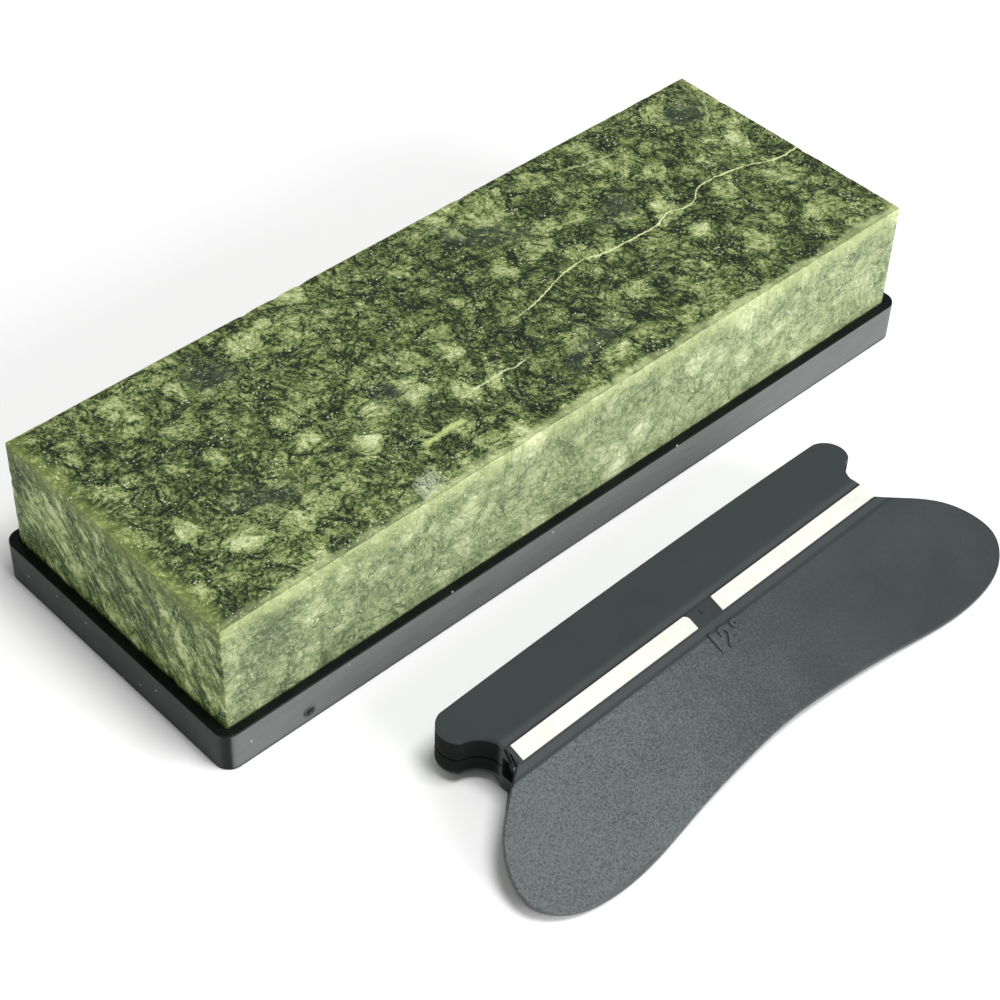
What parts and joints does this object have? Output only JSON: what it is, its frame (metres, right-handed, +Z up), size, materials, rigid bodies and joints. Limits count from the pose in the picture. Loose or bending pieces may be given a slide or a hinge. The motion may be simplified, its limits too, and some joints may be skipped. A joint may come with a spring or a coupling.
{
  "type": "sharpening whetstone",
  "caption": "Mottled green natural whetstone block seated in a black moulded tray, with a sprung clip-on angle guide that carries white ceramic glide strips.",
  "frame": {"origin": "centre of the tray's underside, on the table", "axes": "+X along the stone's length, +Y across it away from the angle guide, +Z up through the working face"},
  "size_m": [0.205, 0.1473, 0.038],
  "materials": {
    "stone": "sawn and lightly polished",
    "tray": "satin moulded",
    "guide_black": "smooth on the jaw, spark-eroded grain on the wing",
    "strip_white": "ground",
    "steel": "bright drawn wire"
  },
  "bodies": {
    "tray": {"base_tray": "tray"},
    "stone": {"whetstone_block": "stone"},
    "guide": {"guide_upper_half": "guide_black", "upper_strip_left": "strip_white", "upper_strip_right": "strip_white", "hinge_pin": "steel"},
    "guide_jaw": {"guide_lower_half": "guide_black", "lower_strip_left": "strip_white", "lower_strip_right": "strip_white", "torsion_spring_left": "steel", "torsion_spring_right": "steel"}
  },
  "joints": [
    {"name": "stone_lift", "type": "slide", "parent": "tray", "child": "stone", "axis": [0, 0, 1], "range_m": [0, 0.05]},
    {"name": "guide_lift", "type": "slide", "parent": "tray", "child": "guide", "axis": [0, 0, 1], "range_m": [0, 0.06]},
    {"name": "jaw_open", "type": "hinge", "parent": "guide", "child": "guide_jaw", "pos_m": [-0.01003, -0.0777, 0.0068], "axis": [-0.9998, -0.0209, 0], "range_deg": [0, 7], "stiffness_Nm_per_rad": 0.3, "springref_deg": -8.59}
  ]
}
